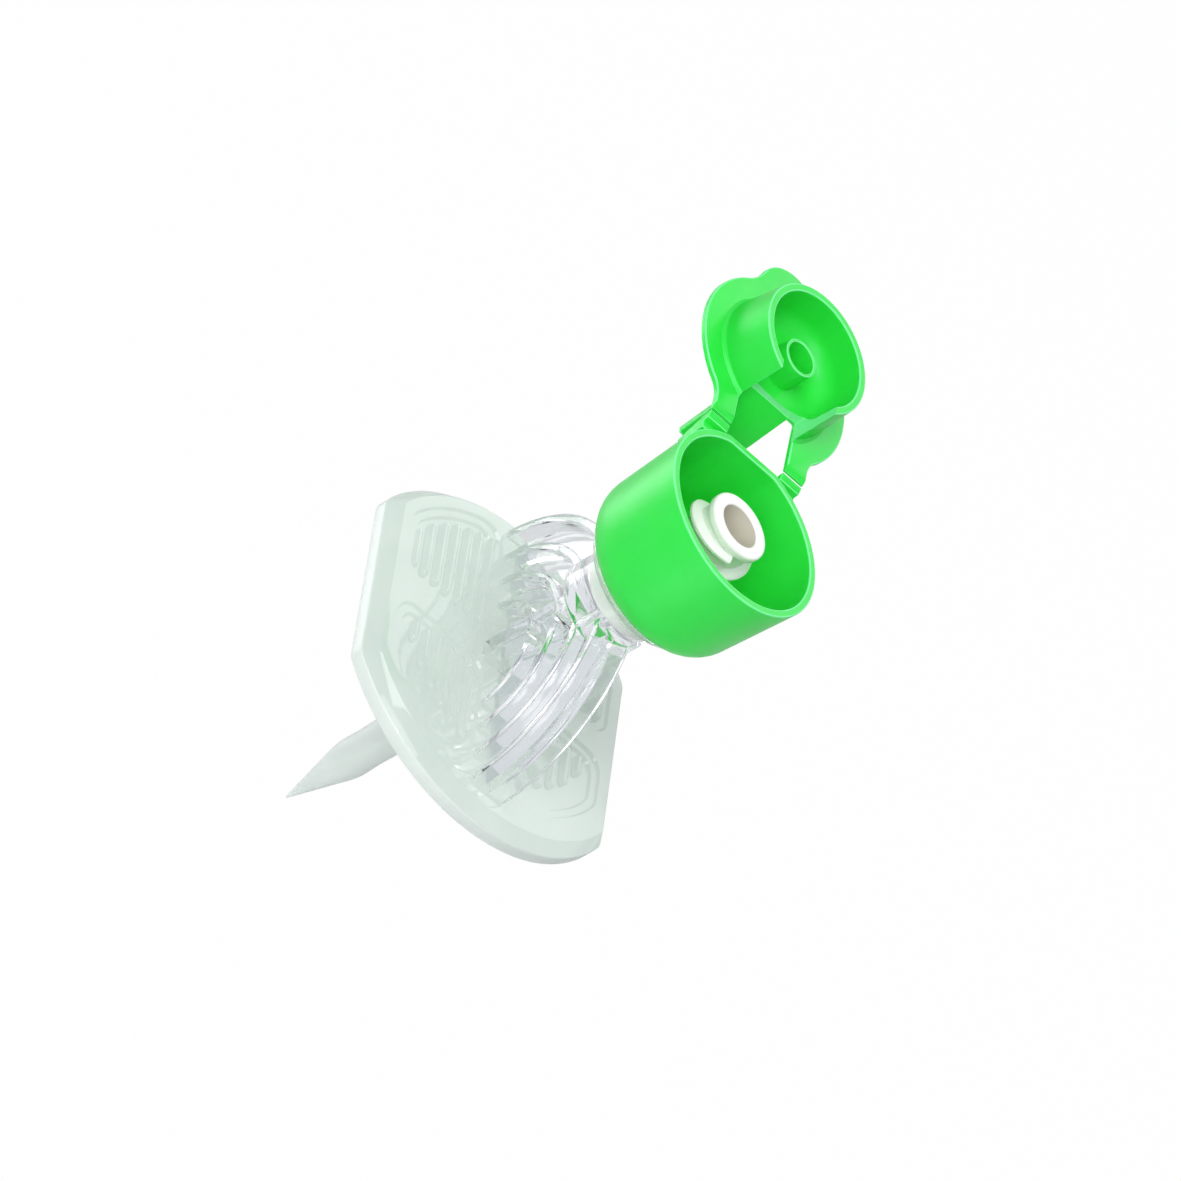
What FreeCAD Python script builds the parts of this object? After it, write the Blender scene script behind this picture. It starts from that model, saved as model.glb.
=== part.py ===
import FreeCAD, Part
import math
import os
import Sketcher

os.makedirs("parts", exist_ok=True)
doc = FreeCAD.newDocument("dispensing_spike")
sheet = doc.addObject("Spreadsheet::Sheet", "Sizes")

# Driving dimensions in millimetres, angles in degrees. The frame has its origin on
# the spike's axis at the underside of the base plate, +Z towards the syringe port
# and +Y towards the hinge of the lid.
DRIVING = {
    # white base plate and spike
    "plate_radius": 18.6,
    "plate_half_width": 15.8,
    "plate_corner": 2.0,
    "base_thickness": 1.45,
    "spike_length": 25.2,
    "spike_tip_radius": 0.09,
    "spike_cone_length": 8.2,
    "spike_shoulder_radius": 1.93,
    "spike_waist_radius": 1.85,
    "spike_waist_length": 10.7,
    "spike_root_radius": 2.1,
    "spike_root_length": 3.0,
    "fluid_lumen_radius": 0.65,
    "fluid_lumen_offset": 0.55,
    "fluid_lumen_tip_gap": 3.1,
    "air_lumen_radius": 0.4,
    "air_lumen_offset": 1.15,
    "air_lumen_tip_gap": 5.2,
    # air filter between the plate and the clear cover
    "filter_inner_radius": 3.7,
    "filter_outer_radius": 10.3,
    "filter_thickness": 0.3,
    "filter_recess": 0.5,
    "filter_rim_gap": 0.1,
    "vent_radius": 0.5,
    "vent_circle": 7.0,
    "vent_count": 8,
    "air_space": 0.3,
    "air_duct_width": 0.8,
    # clear cover with its finger panels
    "cover_thickness": 1.35,
    "cover_bevel_width": 1.05,
    "cover_bevel_height": 1.3,
    "panel_side": 13.45,
    "panel_grip_gap": 0.2,
    "panel_step": 0.85,
    "panel_depth": 0.25,
    "panel_corner": 2.2,
    "upper_panel_start": 1.3,
    "upper_panel_radius": 16.3,
    "lower_panel_start": 1.3,
    "lower_panel_radius": 15.2,
    "rib_first": 3.47,
    "rib_pitch": 1.47,
    "rib_count": 7,
    "rib_width": 0.85,
    "rib_height": 0.5,
    "rib_draft": 24.0,
    "upper_rib_start": 3.3,
    "upper_rib_radius": 14.7,
    "lower_rib_start": 2.6,
    "lower_rib_radius": 12.0,
    # clear grip of nested arches
    "arch_radius": 16.5,
    "arch_pitch": 3.2,
    "arch_count": 4,
    "arch_thickness": 0.95,
    "arch_half_width": 2.05,
    "web_thickness": 0.9,
    "column_half_width": 1.1,
    "column_reach": 2.8,
    "neck_radius": 4.7,
    "neck_foot": 12.6,
    "neck_flange_radius": 7.5,
    "neck_flange_thickness": 1.0,
    "neck_top": 21.05,
    "port_seat_depth": 4.2,
    # white syringe port
    "port_mouth": 31.9,
    "port_mouth_radius": 2.15,
    "port_taper": 0.03,
    "port_bore_depth": 8.0,
    "port_rim_radius": 3.4,
    "port_barrel_radius": 3.05,
    "port_shank_radius": 2.95,
    "port_flange_radius": 4.6,
    "port_flange_thickness": 0.8,
    "thread_crest_radius": 3.95,
    "thread_pitch": 5.0,
    "thread_width": 1.0,
    "thread_start": 27.4,
    "thread_height": 3.4,
    # green collar around the port
    "cup_rim": 32.5,
    "cup_rim_radius": 9.4,
    "cup_foot_radius": 8.95,
    "cup_bend": 3.0,
    "bend_flats": 3,
    "cup_wall": 0.75,
    "cup_floor": 1.0,
    "cup_flat": 8.9,
    "cup_flat_half_width": 3.9,
    # film hinge and lid
    "hinge_reach": 9.6,
    "hinge_level": 32.9,
    "hinge_gap": 0.1,
    "hinge_film": 0.3,
    "crease_run": 0.7,
    "bracket_drop": 2.6,
    "lid_tilt": 5.1,
    "strap_inner": 3.6,
    "strap_outer": 6.1,
    "strap_flare": 2.6,
    "lid_radius": 9.3,
    "lid_thickness": 0.6,
    "lid_seat_gap": 0.1,
    "lid_chord": 5.9,
    "tab_reach": 3.0,
    "tab_half_width": 3.0,
    "tab_blend": 1.8,
    "tab_nose_radius": 3.3,
    "bell_rim_radius": 6.46,
    "bell_foot_radius": 6.86,
    "bell_wall": 0.75,
    "bell_height": 5.16,
    "bell_slot": 4.75,
    "bell_bend": 2.2,
    "bell_floor": 0.4,
    "plug_radius": 1.95,
    "plug_tip_radius": 1.7,
    "plug_bore": 1.25,
    "plug_height": 3.2,
    "plug_hinge_shift": 0.1,
    "tongue_width": 5.6,
    "tongue_length": 8.6,
    "tongue_thickness": 0.8,
    "tongue_lean": 13.0,
    "tongue_corner": 1.0,
}
for row, (alias, value) in enumerate(DRIVING.items(), start=1):
    sheet.set(f"A{row}", alias)
    sheet.set(f"B{row}", str(value))
    sheet.setAlias(f"B{row}", alias)
doc.recompute()


class Size:
    """A number together with the spreadsheet expression that it follows."""

    def __init__(self, value, text):
        self.value = value
        self.text = text

    def __add__(self, other):
        return Size(self.value + number(other), f"({self.text} + {words(other)})")

    def __sub__(self, other):
        return Size(self.value - number(other), f"({self.text} - {words(other)})")

    def __mul__(self, other):
        return Size(self.value * number(other), f"({self.text} * {words(other)})")

    def __truediv__(self, other):
        return Size(self.value / number(other), f"({self.text} / {words(other)})")

    def __neg__(self):
        return Size(-self.value, f"(-1 * {self.text})")


def number(item):
    return item.value if isinstance(item, Size) else float(item)


def words(item):
    return item.text if isinstance(item, Size) else f"({item})"


def size(alias):
    return Size(float(sheet.get(alias)), f"Sizes.{alias}")


def root(item):
    return Size(math.sqrt(item.value), f"sqrt({item.text})")


def sine(angle):
    return Size(math.sin(math.radians(angle.value)), f"sin({angle.text})")


def cosine(angle):
    return Size(math.cos(math.radians(angle.value)), f"cos({angle.text})")


def across(radius, offset):
    """Half a chord of a circle, at an offset from its centre."""
    return root(radius * radius - offset * offset)


ZERO = size("plate_radius") * 0


def quarter_bend(middle, height, radius):
    """Corners of a turned bend in even flats, from under its centre to its outer side."""
    flats = int(size("bend_flats").value)
    angles = [ZERO + 90 * place / flats for place in range(flats + 1)]
    return [(middle + sine(angle) * radius, height - cosine(angle) * radius)
            for angle in angles]


# Sketches, pads and the other steps that the bodies share

def new_body(label):
    body = doc.addObject("PartDesign::Body", label)
    body.Label = label
    return body


def new_sketch(body, name, plane, lift=None):
    sketch = body.newObject("Sketcher::SketchObject", name)
    for feature in body.Origin.OriginFeatures:
        if feature.Role == plane:
            sketch.AttachmentSupport = [(feature, "")]
    sketch.MapMode = "FlatFace"
    if lift is not None:
        sketch.setExpression("AttachmentOffset.Base.z", lift.text)
    return sketch


def bind(sketch, kind, where, item):
    index = sketch.addConstraint(Sketcher.Constraint(kind, *where, item.value))
    sketch.setExpression(f"Constraints[{index}]", item.text)


def add_circle(sketch, radius, x=ZERO, y=ZERO):
    centre = FreeCAD.Vector(x.value, y.value, 0)
    index = sketch.addGeometry(Part.Circle(centre, FreeCAD.Vector(0, 0, 1), radius.value), False)
    bind(sketch, "Radius", (index,), radius)
    bind(sketch, "DistanceX", (index, 3), x)
    bind(sketch, "DistanceY", (index, 3), y)


def arc_between(start, end, radius, turn):
    """An arc from start to end that bulges to the right of the way for turn 1."""
    chord = end - start
    half = chord.Length / 2
    sag = radius - math.sqrt(max(radius * radius - half * half, 0))
    side = FreeCAD.Vector(chord.y, -chord.x, 0).normalize()
    middle = (start + end) * 0.5 + side * (sag * turn)
    return Part.Arc(start, middle, end)


def add_loop(sketch, corners):
    """A closed outline. A corner is (x, y), or (x, y, radius, turn) to start an arc."""
    spots = [FreeCAD.Vector(corner[0].value, corner[1].value, 0) for corner in corners]
    ends = []
    for place, corner in enumerate(corners):
        start = spots[place]
        end = spots[(place + 1) % len(spots)]
        if len(corner) == 2:
            index = sketch.addGeometry(Part.LineSegment(start, end), False)
            ends.append((index, 1, 2))
        else:
            radius, turn = corner[2], corner[3]
            index = sketch.addGeometry(arc_between(start, end, radius.value, turn), False)
            ends.append((index, 1, 2) if turn > 0 else (index, 2, 1))
    for place, (index, first, last) in enumerate(ends):
        following = ends[(place + 1) % len(ends)]
        link = (index, last, following[0], following[1])
        sketch.addConstraint(Sketcher.Constraint("Coincident", *link))
    for place, corner in enumerate(corners):
        index, first, last = ends[place]
        bind(sketch, "DistanceX", (index, first), corner[0])
        bind(sketch, "DistanceY", (index, first), corner[1])
        if len(corner) == 4:
            bind(sketch, "Radius", (index,), corner[2])


def add_box(sketch, left, right, low, high):
    add_loop(sketch, [(left, low), (right, low), (right, high), (left, high)])


def pad(body, name, sketch, length, symmetric=False):
    feature = body.newObject("PartDesign::Pad", name)
    feature.Profile = sketch
    feature.setExpression("Length", length.text)
    feature.SideType = "Symmetric" if symmetric else "One side"
    sketch.Visibility = False
    doc.recompute()
    return feature


def pocket(body, name, sketch, length, upwards=False):
    feature = body.newObject("PartDesign::Pocket", name)
    feature.Profile = sketch
    feature.setExpression("Length", length.text)
    feature.Reversed = upwards
    sketch.Visibility = False
    doc.recompute()
    return feature


def turn(body, name, sketch, kind="PartDesign::Revolution"):
    feature = body.newObject(kind, name)
    feature.Profile = sketch
    feature.ReferenceAxis = (sketch, ["V_Axis"])
    feature.Angle = 360
    sketch.Visibility = False
    doc.recompute()
    return feature


def round_edges(body, name, test, radius):
    base = body.Tip
    chosen = [f"Edge{i}" for i, edge in enumerate(base.Shape.Edges, start=1) if test(edge)]
    feature = body.newObject("PartDesign::Fillet", name)
    feature.Base = (base, chosen)
    feature.setExpression("Radius", radius.text)
    doc.recompute()
    return feature


def near(first, second, slack=0.01):
    return abs(first - second) < slack


def level(edge, height):
    box = edge.BoundBox
    return near(box.ZMin, height) and near(box.ZMax, height)


def upright(edge):
    box = edge.BoundBox
    return box.XLength < 0.001 and box.YLength < 0.001


def plate_outline(body, name, lift=None):
    """A round plate with two parallel flats."""
    sketch = new_sketch(body, name, "XY_Plane", lift)
    side = size("plate_half_width")
    radius = size("plate_radius")
    end = across(radius, side)
    add_loop(sketch, [
        (side, end, radius, 1),
        (-side, end),
        (-side, -end, radius, 1),
        (side, -end),
    ])
    return sketch


# White spike and base plate, one moulding

def make_spike_base():
    body = new_body("spike_base")
    thickness = size("base_thickness")
    pad(body, "base_plate", plate_outline(body, "base_outline"), thickness)
    round_edges(body, "base_corners", upright, size("plate_corner"))

    length = size("spike_length")
    shoulder = size("spike_shoulder_radius")
    profile = new_sketch(body, "spike_profile", "XZ_Plane")
    add_loop(profile, [
        (ZERO, -length),
        (size("spike_tip_radius"), -length),
        (shoulder, size("spike_cone_length") - length),
        (size("spike_waist_radius"), size("spike_waist_length") - length),
        (size("spike_root_radius"), -size("spike_root_length")),
        (size("spike_root_radius"), thickness),
        (ZERO, thickness),
    ])
    turn(body, "spike", profile)

    recess = new_sketch(body, "filter_recess_outline", "XY_Plane", thickness)
    add_circle(recess, size("filter_inner_radius") - size("filter_rim_gap"))
    add_circle(recess, size("filter_outer_radius") + size("filter_rim_gap"))
    pocket(body, "filter_seat", recess, size("filter_recess"))

    vent = new_sketch(body, "vent_outline", "XY_Plane", thickness)
    add_circle(vent, size("vent_radius"), size("vent_circle"))
    vent_hole = pocket(body, "vent_hole", vent, thickness * 2)
    pattern = body.newObject("PartDesign::PolarPattern", "vent_ring")
    pattern.Originals = [vent_hole]
    pattern.Axis = (vent, ["N_Axis"])
    pattern.setExpression("Occurrences", "Sizes.vent_count")
    body.Tip = pattern
    doc.recompute()

    fluid = new_sketch(body, "fluid_lumen_outline", "XY_Plane", thickness)
    add_circle(fluid, size("fluid_lumen_radius"), size("fluid_lumen_offset"))
    reach = thickness + length - size("fluid_lumen_tip_gap")
    pocket(body, "fluid_lumen", fluid, reach)

    air = new_sketch(body, "air_lumen_outline", "XY_Plane", thickness)
    add_circle(air, size("air_lumen_radius"), ZERO, size("air_lumen_offset"))
    reach = thickness + length - size("air_lumen_tip_gap")
    pocket(body, "air_lumen", air, reach)
    return body


# Ring of filter membrane, sealed in between the plate and the cover

def make_air_filter():
    body = new_body("air_filter")
    floor = size("base_thickness") - size("filter_recess")
    ring = new_sketch(body, "filter_outline", "XY_Plane", floor)
    add_circle(ring, size("filter_inner_radius"))
    add_circle(ring, size("filter_outer_radius"))
    pad(body, "membrane", ring, size("filter_thickness"))
    return body


# Clear cover with finger panels and the grip of nested arches, one moulding

def add_panel(body, name, start, radius, east, north):
    """A shallow stepped recess with rounded corners; east and north are each 1 or -1."""
    top = size("base_thickness") + size("cover_thickness")
    depth = size("panel_depth")
    sweep = east * north
    for step, ceiling in enumerate([top, top - depth]):
        inset = size("panel_step") * step
        grip = size("arch_half_width") + size("panel_grip_gap") + inset
        side = size("panel_side") - inset
        low = start + inset
        arc = radius - inset
        bend = size("panel_corner") - inset / 2
        outer_rise = across(arc - bend, side - bend)
        inner_rise = across(arc - bend, grip + bend)
        spread = arc / (arc - bend)
        outline = new_sketch(body, f"{name}_outline_{step}", "XY_Plane", ceiling)
        corners = [
            (grip + bend, low),
            (side - bend, low, bend),
            (side, low + bend),
            (side, outer_rise, bend),
            ((side - bend) * spread, outer_rise * spread, arc),
            ((grip + bend) * spread, inner_rise * spread, bend),
            (grip, inner_rise),
            (grip, low + bend, bend),
        ]
        add_loop(outline, [
            (corner[0] * east, corner[1] * north)
            + ((corner[2], sweep) if len(corner) == 3 else ())
            for corner in corners
        ])
        pocket(body, f"{name}_step_{step}", outline, depth)


def add_ribs(body, name, start, radius, east, north):
    """Parallel ribs that end on a circle; those too short to mould are left out."""
    floor = size("base_thickness") + size("cover_thickness") - size("panel_depth") * 2
    outline = new_sketch(body, f"{name}_ribs_outline", "XY_Plane", floor)
    half = size("rib_width") / 2
    for place in range(int(size("rib_count").value)):
        middle = size("rib_first") + size("rib_pitch") * place
        if math.hypot(middle.value, start.value + size("rib_width").value) > radius.value:
            continue
        end = across(radius, middle)
        across_rib = sorted([(middle - half) * east, (middle + half) * east], key=number)
        along_rib = sorted([start * north, end * north], key=number)
        add_box(outline, across_rib[0], across_rib[1], along_rib[0], along_rib[1])
    ribs = pad(body, f"{name}_ribs", outline, size("rib_height"))
    ribs.setExpression("TaperAngle", (-size("rib_draft")).text)
    doc.recompute()


def make_clear_housing():
    body = new_body("clear_housing")
    foot = size("base_thickness")
    cover = size("cover_thickness")
    top = foot + cover
    pad(body, "cover_plate", plate_outline(body, "cover_outline", foot), cover)
    round_edges(body, "cover_corners", upright, size("plate_corner"))
    bevel = body.newObject("PartDesign::Chamfer", "cover_bevel")
    rim = [f"Edge{i}" for i, edge in enumerate(body.Shape.Edges, start=1)
           if level(edge, top.value)]
    bevel.Base = (body.getObject("cover_corners"), rim)
    bevel.ChamferType = "Two distances"
    bevel.setExpression("Size", size("cover_bevel_height").text)
    bevel.setExpression("Size2", size("cover_bevel_width").text)
    doc.recompute()

    upper = (size("upper_panel_start"), size("upper_panel_radius"))
    lower = (size("lower_panel_start"), size("lower_panel_radius"))
    for east in (1, -1):
        add_panel(body, f"upper_panel_{east + 1}", *upper, east, 1)
        add_panel(body, f"lower_panel_{east + 1}", *lower, east, -1)
    upper = (size("upper_rib_start"), size("upper_rib_radius"))
    lower = (size("lower_rib_start"), size("lower_rib_radius"))
    for east in (1, -1):
        add_ribs(body, f"upper_{east + 1}", *upper, east, 1)
        add_ribs(body, f"lower_{east + 1}", *lower, east, -1)

    # the web and the arches stand on the cover and share its middle
    embed = cover / 2
    start = foot + embed
    outer = size("arch_radius")
    web = new_sketch(body, "web_outline", "YZ_Plane")
    inside = outer - size("arch_thickness") / 2
    add_loop(web, [
        (across(inside, embed), start, inside, 1),
        (-across(inside, embed), start),
    ])
    pad(body, "web", web, size("web_thickness"), symmetric=True)

    arches = new_sketch(body, "arches_outline", "YZ_Plane")
    for place in range(int(size("arch_count").value)):
        outside = outer - size("arch_pitch") * place
        within = outside - size("arch_thickness")
        add_loop(arches, [
            (across(outside, embed), start, outside, 1),
            (-across(outside, embed), start),
            (-across(within, embed), start, within, -1),
            (across(within, embed), start),
        ])
    pad(body, "arches", arches, size("arch_half_width") * 2, symmetric=True)

    column = new_sketch(body, "column_outline", "XY_Plane", foot)
    reach = size("column_reach")
    half = size("column_half_width")
    add_box(column, -reach, reach, -half, half)
    flange = size("neck_top") - size("neck_flange_thickness")
    pad(body, "column", column, flange - foot)

    neck = new_sketch(body, "neck_profile", "XZ_Plane")
    radius = size("neck_radius")
    flare = radius - size("column_half_width")
    add_loop(neck, [
        (ZERO, size("neck_foot")),
        (size("column_half_width"), size("neck_foot")),
        (radius, size("neck_foot") + flare / 2),
        (radius, flange),
        (size("neck_flange_radius"), flange),
        (size("neck_flange_radius"), size("neck_top")),
        (ZERO, size("neck_top")),
    ])
    turn(body, "neck", neck)

    seat = new_sketch(body, "port_seat_outline", "XY_Plane", size("neck_top"))
    add_circle(seat, size("port_shank_radius"))
    pocket(body, "port_seat", seat, size("port_seat_depth"))
    channel = new_sketch(body, "channel_outline", "XY_Plane", size("neck_top"))
    add_circle(channel, size("fluid_lumen_radius"), size("fluid_lumen_offset"))
    pocket(body, "channel", channel, size("neck_top") - foot)

    air = new_sketch(body, "air_space_outline", "XY_Plane", foot)
    add_circle(air, size("filter_inner_radius"))
    add_circle(air, size("filter_outer_radius"))
    pocket(body, "air_space", air, size("air_space"), upwards=True)
    duct = new_sketch(body, "air_duct_outline", "XY_Plane", foot)
    wide = size("air_duct_width") / 2
    add_box(duct, -wide, wide, size("air_lumen_offset") - wide, size("filter_inner_radius") + wide)
    pocket(body, "air_duct", duct, size("air_space"), upwards=True)
    return body


# White syringe port: a conical socket with 6 percent taper and a two-start thread

def make_syringe_port():
    body = new_body("syringe_port")
    mouth = size("port_mouth")
    floor = size("neck_top") + size("cup_floor")
    shank = size("port_shank_radius")
    profile = new_sketch(body, "port_profile", "XZ_Plane")
    rim = size("port_rim_radius") - size("port_barrel_radius")
    add_loop(profile, [
        (ZERO, size("neck_top") - size("port_seat_depth")),
        (shank, size("neck_top") - size("port_seat_depth")),
        (shank, floor),
        (size("port_flange_radius"), floor),
        (size("port_flange_radius"), floor + size("port_flange_thickness")),
        (size("port_barrel_radius"), floor + size("port_flange_thickness")),
        (size("port_barrel_radius"), mouth - rim * 3),
        (size("port_rim_radius"), mouth - rim * 2),
        (size("port_rim_radius"), mouth),
        (ZERO, mouth),
    ])
    turn(body, "barrel", profile)

    inner = size("port_barrel_radius") - size("thread_width") / 4
    crest = size("thread_crest_radius")
    half = size("thread_width") / 2
    begin = size("thread_start")
    for place, side in enumerate((1, -1)):
        section = new_sketch(body, f"thread_section_{place}", "XZ_Plane")
        add_loop(section, [
            (inner * side, begin - half),
            (crest * side, begin - half / 2),
            (crest * side, begin + half / 2),
            (inner * side, begin + half),
        ])
        thread = body.newObject("PartDesign::AdditiveHelix", f"thread_{place}")
        thread.Profile = section
        thread.ReferenceAxis = (section, ["V_Axis"])
        thread.Mode = "pitch-height-angle"
        thread.setExpression("Pitch", size("thread_pitch").text)
        thread.setExpression("Height", size("thread_height").text)
        section.Visibility = False
        doc.recompute()

    bore = new_sketch(body, "bore_profile", "XZ_Plane")
    depth = size("port_bore_depth")
    narrow = size("port_mouth_radius") - depth * size("port_taper")
    add_loop(bore, [
        (ZERO, mouth),
        (ZERO, mouth - depth),
        (narrow, mouth - depth),
        (size("port_mouth_radius"), mouth),
    ])
    turn(body, "conical_socket", bore, "PartDesign::Groove")
    channel = new_sketch(body, "port_channel_outline", "XY_Plane", mouth)
    add_circle(channel, size("fluid_lumen_radius"), size("fluid_lumen_offset"))
    pocket(body, "port_channel", channel, mouth)
    return body


# Green collar: a cup around the port with two brackets for the film hinge

def make_cap_collar():
    body = new_body("cap_collar")
    foot = size("neck_top")
    rim = size("cup_rim")
    bend = size("cup_bend")
    wall = size("cup_wall")
    floor = size("cup_floor")
    hole = size("port_shank_radius")
    base = size("cup_foot_radius")
    lip = size("cup_rim_radius")
    profile = new_sketch(body, "cup_profile", "XZ_Plane")
    add_loop(profile, [
        (ZERO, foot),
        *quarter_bend(base - bend, foot + bend, bend),
        (lip, rim),
        (ZERO, rim),
    ])
    turn(body, "cup", profile)

    # two brackets carry the film out to the hinge line
    reach = size("hinge_reach") - size("hinge_gap")
    root_reach = lip - wall * 3
    slope = size("crease_run")
    top = size("hinge_level") - size("lid_seat_gap")
    for place, side in enumerate((1, -1)):
        start = size("strap_inner") if side > 0 else -size("strap_outer")
        bracket = new_sketch(body, f"bracket_outline_{place}", "YZ_Plane", start)
        add_loop(bracket, [
            (root_reach, rim),
            (root_reach, rim - size("bracket_drop")),
            (reach, top - size("hinge_film")),
            (reach, top),
            (reach - slope, rim),
        ])
        pad(body, f"bracket_{place}", bracket, size("strap_outer") - size("strap_inner"))

    hollow = new_sketch(body, "hollow_profile", "XZ_Plane")
    add_loop(hollow, [
        (ZERO, top),
        (ZERO, foot + floor),
        *quarter_bend(base - bend, foot + floor + bend - wall, bend - wall),
        (lip - wall, rim),
        (lip - wall, top),
    ])
    turn(body, "hollow", hollow, "PartDesign::Groove")
    port_hole = new_sketch(body, "port_hole_outline", "XY_Plane", foot + floor)
    add_circle(port_hole, size("port_shank_radius"))
    pocket(body, "port_hole", port_hole, floor)

    # between the brackets the wall is flat, inside and out
    flat = size("cup_flat")
    half = size("cup_flat_half_width")
    between = size("strap_inner")
    inside = new_sketch(body, "flat_outline", "XY_Plane", rim)
    add_box(inside, -half, half, flat - wall, flat)
    flat_wall = pad(body, "flat_wall", inside, rim - foot - bend)
    flat_wall.Reversed = True
    doc.recompute()
    outside = new_sketch(body, "flat_cut_outline", "XY_Plane", rim)
    add_box(outside, -between, between, flat, lip + wall)
    pocket(body, "flat_cut", outside, rim - foot)
    return body


# Green lid, moulded open: flange, bell, plug and tongue in the plane of the hinge

def bell_loop(body, name, middle, corners):
    """A profile turned about the axis that stands in the middle of the flange."""
    sketch = new_sketch(body, name, "XZ_Plane", -middle)
    add_loop(sketch, corners)
    return sketch


def make_cap_lid():
    body = new_body("cap_lid")
    face = size("hinge_level") - size("cup_rim") - size("lid_seat_gap")
    thick = size("lid_thickness")
    middle = size("hinge_reach")
    radius = size("lid_radius")
    chord = size("lid_chord")
    gap = size("hinge_gap")
    inner = size("strap_inner")
    outer = size("strap_outer")
    tab = size("tab_half_width")

    # the bell is turned first, so that its slot is cut before the flange joins it
    bend = size("bell_bend")
    top = face + size("bell_height")
    floor = face + size("bell_floor")
    foot_radius = size("bell_foot_radius")
    within = size("bell_rim_radius") - size("bell_wall")
    bell = bell_loop(body, "bell_profile", middle, [
        (ZERO, face - thick / 2),
        (foot_radius, face - thick / 2),
        (foot_radius, face),
        (size("bell_rim_radius"), top),
        (within, top),
        *reversed(quarter_bend(within - bend, floor + bend, bend)),
        (ZERO, floor),
    ])
    turn(body, "bell", bell)
    slot = new_sketch(body, "bell_slot_outline", "XY_Plane", face - thick)
    add_box(slot, -foot_radius, foot_radius, middle - foot_radius * 1.2, size("bell_slot"))
    pocket(body, "bell_slot", slot, size("bell_height") + thick * 2, upwards=True)

    flange = new_sketch(body, "flange_outline", "XY_Plane", face - thick)
    foot = middle - across(radius, outer)
    far = middle + across(radius, tab)
    end = middle + radius + size("tab_reach")
    nose = size("tab_nose_radius")
    add_loop(flange, [
        (inner, gap),
        (outer, gap),
        (outer, foot, radius, 1),
        (tab, far),
        (tab, end - nose + across(nose, tab), nose, 1),
        (-tab, end - nose + across(nose, tab)),
        (-tab, far, radius, 1),
        (-outer, foot),
        (-outer, gap),
        (-inner, gap),
        (-inner, chord),
        (inner, chord),
    ])
    pad(body, "flange", flange, thick)
    round_edges(body, "flange_blends",
                lambda edge: upright(edge) and near(abs(edge.BoundBox.Center.x), outer.value)
                and near(edge.BoundBox.Center.y, foot.value),
                size("strap_flare"))
    round_edges(body, "tab_blends",
                lambda edge: upright(edge) and near(abs(edge.BoundBox.Center.x), tab.value)
                and near(edge.BoundBox.Center.y, far.value),
                size("tab_blend"))

    notch = new_sketch(body, "chord_outline", "XY_Plane", face - thick)
    add_box(notch, -inner, inner, ZERO, chord)
    pocket(body, "chord_cut", notch, size("bell_height") + thick * 2, upwards=True)

    # the film is thinned from the side that folds inwards
    slope = size("crease_run")
    crease = new_sketch(body, "crease_outline", "YZ_Plane")
    add_loop(crease, [
        (-gap, face - thick + size("hinge_film")),
        (gap, face - thick + size("hinge_film")),
        (gap + slope, face),
        (gap + slope, face + thick),
        (-gap, face + thick),
    ])
    crease_cut = pocket(body, "crease", crease, foot_radius * 3)
    crease_cut.SideType = "Symmetric"
    doc.recompute()

    stem = size("plug_radius")
    tip = size("plug_tip_radius")
    hollow = size("plug_bore")
    height = face + size("plug_height")
    shift = size("plug_hinge_shift")
    plug = bell_loop(body, "plug_profile", middle - shift, [
        (hollow, face),
        (stem, face),
        (stem, height - size("plug_height") * 0.45),
        (tip, height),
        (hollow, height),
    ])
    turn(body, "plug", plug)

    lean = size("tongue_lean")
    length = size("tongue_length")
    wide = size("tongue_thickness")
    tongue = new_sketch(body, "tongue_outline", "YZ_Plane")
    add_loop(tongue, [
        (chord, face),
        (chord - sine(lean) * length, face - cosine(lean) * length),
        (chord - sine(lean) * length + cosine(lean) * wide,
         face - cosine(lean) * length - sine(lean) * wide),
        (chord + wide / cosine(lean), face),
    ])
    pad(body, "tongue", tongue, size("tongue_width"), symmetric=True)
    side = size("tongue_width") / 2
    low = face - cosine(lean) * length * 0.9
    round_edges(body, "tongue_corners",
                lambda edge: edge.BoundBox.XLength < 0.01 and edge.BoundBox.ZMax < low.value
                and edge.BoundBox.ZLength < wide.value
                and near(abs(edge.BoundBox.Center.x), side.value),
                size("tongue_corner"))

    body.Placement.Rotation = FreeCAD.Rotation(FreeCAD.Vector(1, 0, 0), size("lid_tilt").value)
    body.setExpression("Placement.Rotation.Angle", size("lid_tilt").text)
    body.setExpression("Placement.Base.y", size("hinge_reach").text)
    body.setExpression("Placement.Base.z", size("hinge_level").text)
    doc.recompute()
    return body


# Check each body and write its file

bodies = [make_spike_base(), make_air_filter(), make_clear_housing(), make_syringe_port(),
          make_cap_collar(), make_cap_lid()]
for body in bodies:
    for feature in body.Group:
        if "Invalid" in feature.State or "Error" in feature.State:
            raise RuntimeError(f"{feature.Name} did not build: {feature.State}")
    if body.Shape.isNull() or not body.Shape.isValid():
        raise RuntimeError(f"{body.Label} has no valid shape")
    print(body.Label, len(body.Shape.Solids), round(body.Shape.Volume, 2), body.Shape.BoundBox)
    body.Shape.exportStep(f"parts/{body.Label}.step")
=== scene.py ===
import math
import bmesh
import bpy
from mathutils import Matrix, Vector


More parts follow.
